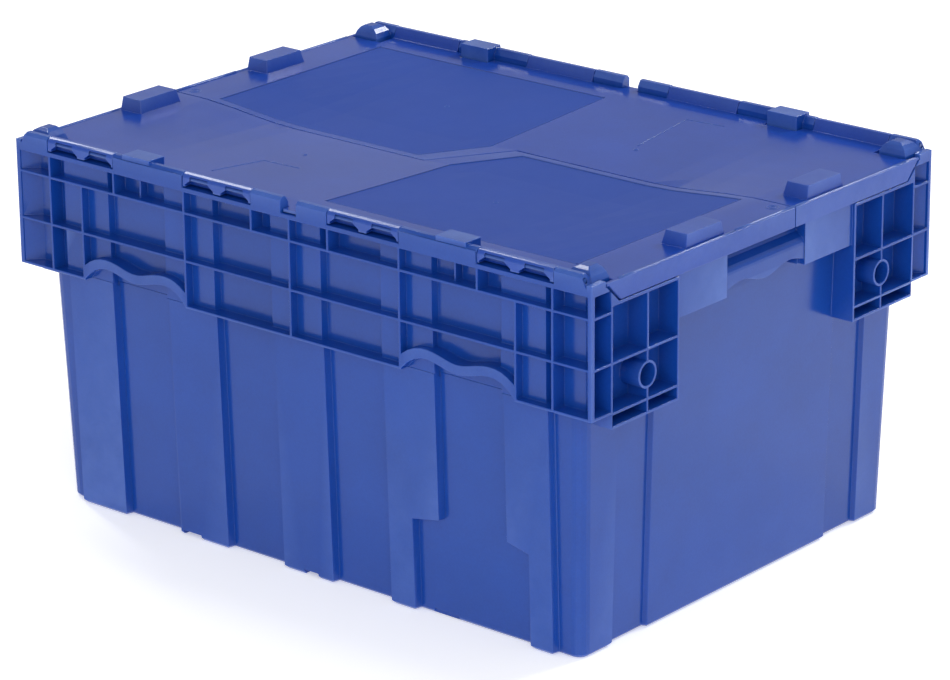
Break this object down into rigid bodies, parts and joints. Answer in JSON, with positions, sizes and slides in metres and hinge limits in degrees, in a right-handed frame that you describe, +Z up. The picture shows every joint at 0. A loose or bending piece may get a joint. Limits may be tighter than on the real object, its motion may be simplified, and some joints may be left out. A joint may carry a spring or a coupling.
{
  "type": "attached lid tote",
  "caption": "Blue nestable plastic storage tote with a deep ribbed rim, moulded hand grips and hinged lid flaps that meet on a stepped middle seam.",
  "frame": {"origin": "middle of the tote's footprint, on the surface it stands on", "axes": "+Z up; X along the long sides, which carry the hinges; -Y faces the lid_front flap's hinge"},
  "size_m": [0.711, 0.5182, 0.38],
  "materials": {
    "container_plastic": "satin moulded blue",
    "lid_plastic": "lightly grained moulded blue",
    "rod_plastic": "smooth glossy blue bar"
  },
  "bodies": {
    "container": {"container_body": "container_plastic", "hinge_rod_front_left": "rod_plastic", "hinge_rod_front_right": "rod_plastic", "hinge_rod_back_left": "rod_plastic", "hinge_rod_back_right": "rod_plastic"},
    "front_flap": {"lid_front": "lid_plastic"},
    "back_flap": {"lid_back": "lid_plastic"}
  },
  "joints": [
    {"name": "front_flap_hinge", "type": "hinge", "parent": "container", "child": "front_flap", "pos_m": [0, -0.2553, 0.3718], "axis": [1, 0, 0], "range_deg": [0, 268]},
    {"name": "back_flap_hinge", "type": "hinge", "parent": "container", "child": "back_flap", "pos_m": [0, 0.2553, 0.3718], "axis": [-1, 0, 0], "range_deg": [0, 268]}
  ]
}
